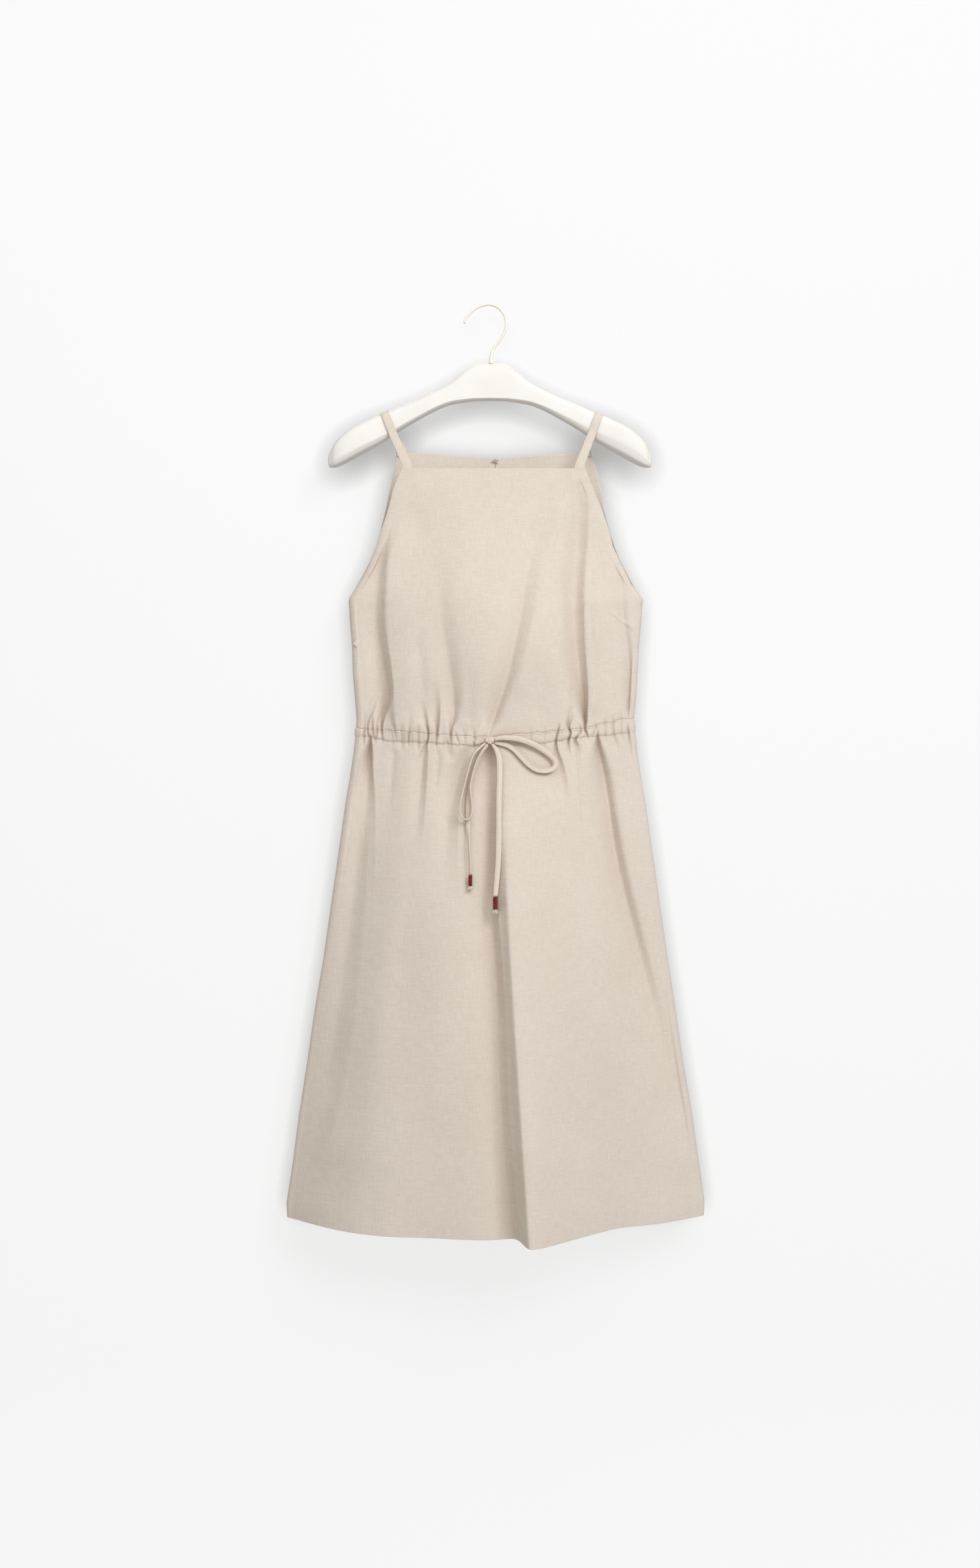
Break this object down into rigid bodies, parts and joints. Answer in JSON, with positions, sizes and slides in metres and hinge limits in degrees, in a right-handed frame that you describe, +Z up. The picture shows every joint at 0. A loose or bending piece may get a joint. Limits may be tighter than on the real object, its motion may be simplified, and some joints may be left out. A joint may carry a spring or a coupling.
{
  "type": "linen dress on hanger",
  "caption": "Sleeveless A-line linen dress with thin straps and a gathered drawstring waist tied in a bow, hung on a moulded hanger with a wire hook.",
  "frame": {"origin": "inside of the hanger hook's bend, where a rail or peg carries it", "axes": "+Z up, +X to the viewer's right, the dress's front faces -Y"},
  "size_m": [0.5654, 0.1743, 1.2457],
  "materials": {
    "linen": "plain-woven linen, matt, fine slubs",
    "linen_tie": "folded linen tie, matt",
    "thread_red": "tightly wound dark red thread",
    "tuft": "frayed linen threads",
    "thread_pale": "sewing thread over wire",
    "hanger_white": "smooth warm white, satin",
    "wire_cream": "cream coated wire"
  },
  "bodies": {
    "root": {"front_bodice": "linen", "back_bodice_left": "linen", "back_bodice_right": "linen", "casing_front": "linen", "casing_back": "linen", "skirt_front": "linen", "skirt_back": "linen", "strap_left": "linen", "strap_right": "linen", "tie_stub": "linen_tie", "tie_knot": "linen_tie", "tie_loop_left": "linen_tie", "tie_loop_right": "linen_tie", "tie_tail_left": "linen_tie", "tie_tail_right": "linen_tie", "whipping_left": "thread_red", "whipping_right": "thread_red", "tuft_left": "tuft", "tuft_right": "tuft", "neck_hook": "thread_pale", "neck_eye": "thread_pale", "hanger_body": "hanger_white", "hanger_hook": "wire_cream"}
  },
  "joints": []
}
